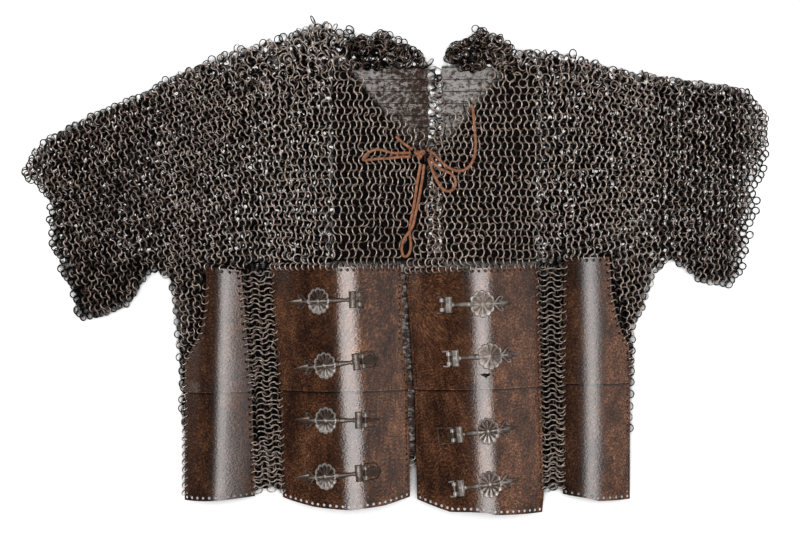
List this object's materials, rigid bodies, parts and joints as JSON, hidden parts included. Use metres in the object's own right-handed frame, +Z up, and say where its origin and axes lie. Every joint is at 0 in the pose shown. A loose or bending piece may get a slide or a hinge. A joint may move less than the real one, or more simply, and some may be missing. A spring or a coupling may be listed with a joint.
{
  "type": "mail and plate shirt",
  "caption": "Short-sleeved iron mail shirt laid flat, with curved pierced plates and hinged ornamental buckles over the belly, a lamed back and a leather-laced slit at the neck.",
  "frame": {"origin": "on the table, under the middle of the laid-out shirt's bounding box", "axes": "+X to the right as the front is seen from above, +Y towards the neck, +Z up from the table"},
  "size_m": [1.022, 0.668, 0.0435],
  "materials": {
    "mail_iron": "dark grey-brown worn iron rings",
    "plate_iron": "russet patina, brighter where rubbed along the crests",
    "buckle_iron": "worn, pitted grey-brown iron",
    "lame_iron": "dull grey iron",
    "thong_leather": "matt tan leather"
  },
  "bodies": {
    "shirt": {"mail_back_left": "mail_iron", "mail_back_right": "mail_iron", "mail_front_left": "mail_iron", "mail_front_right": "mail_iron", "mail_strip_left": "mail_iron", "mail_strip_right": "mail_iron", "mail_spine": "mail_iron", "mail_hem": "mail_iron", "mail_neck_link": "mail_iron", "collar_left": "mail_iron", "collar_right": "mail_iron", "side_plate_left_upper": "plate_iron", "side_plate_left_lower": "plate_iron", "side_plate_right_upper": "plate_iron", "side_plate_right_lower": "plate_iron", "lames_left_1": "lame_iron", "lames_left_2": "lame_iron", "lames_left_3": "lame_iron", "lames_left_4": "lame_iron", "lames_right_1": "lame_iron", "lames_right_2": "lame_iron", "lames_right_3": "lame_iron", "lames_right_4": "lame_iron", "lace_knot": "thong_leather", "lace_tie": "thong_leather", "lace_bow_left": "thong_leather", "lace_bow_right": "thong_leather", "lace_end_short": "thong_leather", "lace_end_long": "thong_leather"},
    "front_left": {"plate_left_upper": "plate_iron", "plate_left_lower": "plate_iron", "buckle_left_1": "buckle_iron", "buckle_left_2": "buckle_iron", "buckle_left_3": "buckle_iron", "buckle_left_4": "buckle_iron"},
    "front_right": {"plate_right_upper": "plate_iron", "plate_right_lower": "plate_iron", "buckle_right_1": "buckle_iron", "buckle_right_2": "buckle_iron", "buckle_right_3": "buckle_iron", "buckle_right_4": "buckle_iron"},
    "frame_left_1": {"frame_left_1": "buckle_iron"},
    "frame_left_2": {"frame_left_2": "buckle_iron"},
    "frame_left_3": {"frame_left_3": "buckle_iron"},
    "frame_left_4": {"frame_left_4": "buckle_iron"},
    "frame_right_1": {"frame_right_1": "buckle_iron"},
    "frame_right_3": {"frame_right_3": "buckle_iron"},
    "tongue_left_2": {"tongue_left_2": "buckle_iron"},
    "tongue_left_3": {"tongue_left_3": "buckle_iron"},
    "tongue_left_4": {"tongue_left_4": "buckle_iron"},
    "tongue_right_3": {"tongue_right_3": "buckle_iron"}
  },
  "joints": [
    {"name": "front_left_hinge", "type": "hinge", "parent": "shirt", "child": "front_left", "pos_m": [-0.1804, -0.16, 0.007], "axis": [0, -1, 0], "range_deg": [0, 40]},
    {"name": "front_right_hinge", "type": "hinge", "parent": "shirt", "child": "front_right", "pos_m": [0.2125, -0.16, 0.007], "axis": [0, 1, 0], "range_deg": [0, 40]},
    {"name": "frame_left_1_pivot", "type": "hinge", "parent": "front_left", "child": "frame_left_1", "pos_m": [-0.047, -0.04457, 0.04015], "axis": [0.0419, -0.9991, 0], "range_deg": [0, 100]},
    {"name": "frame_left_2_pivot", "type": "hinge", "parent": "front_left", "child": "frame_left_2", "pos_m": [-0.04233, -0.12692, 0.0399], "axis": [0.1184, -0.9928, -0.0165], "range_deg": [0, 100]},
    {"name": "frame_left_3_pivot", "type": "hinge", "parent": "front_left", "child": "frame_left_3", "pos_m": [-0.03901, -0.20595, 0.03836], "axis": [0.0078, -0.9999, 0.0075], "range_deg": [0, 100]},
    {"name": "frame_left_4_pivot", "type": "hinge", "parent": "front_left", "child": "frame_left_4", "pos_m": [-0.03857, -0.27635, 0.03888], "axis": [0.0931, -0.9956, -0.0102], "range_deg": [0, 100]},
    {"name": "frame_right_1_pivot", "type": "hinge", "parent": "front_right", "child": "frame_right_1", "pos_m": [0.06306, -0.05232, 0.03647], "axis": [-0.0331, 0.9995, 0], "range_deg": [0, 100]},
    {"name": "frame_right_3_pivot", "type": "hinge", "parent": "front_right", "child": "frame_right_3", "pos_m": [0.07767, -0.22635, 0.03738], "axis": [-0.1177, 0.9928, -0.0209], "range_deg": [0, 100]},
    {"name": "tongue_left_2_pivot", "type": "hinge", "parent": "frame_left_2", "child": "tongue_left_2", "pos_m": [-0.04233, -0.12692, 0.0399], "axis": [0.1184, -0.9928, -0.0165], "range_deg": [0, 60]},
    {"name": "tongue_left_3_pivot", "type": "hinge", "parent": "frame_left_3", "child": "tongue_left_3", "pos_m": [-0.03901, -0.20595, 0.03836], "axis": [0.0078, -0.9999, 0.0075], "range_deg": [0, 60]},
    {"name": "tongue_left_4_pivot", "type": "hinge", "parent": "frame_left_4", "child": "tongue_left_4", "pos_m": [-0.03857, -0.27635, 0.03888], "axis": [0.0931, -0.9956, -0.0102], "range_deg": [0, 60]},
    {"name": "tongue_right_3_pivot", "type": "hinge", "parent": "frame_right_3", "child": "tongue_right_3", "pos_m": [0.07767, -0.22635, 0.03738], "axis": [-0.1177, 0.9928, -0.0209], "range_deg": [0, 60]}
  ]
}
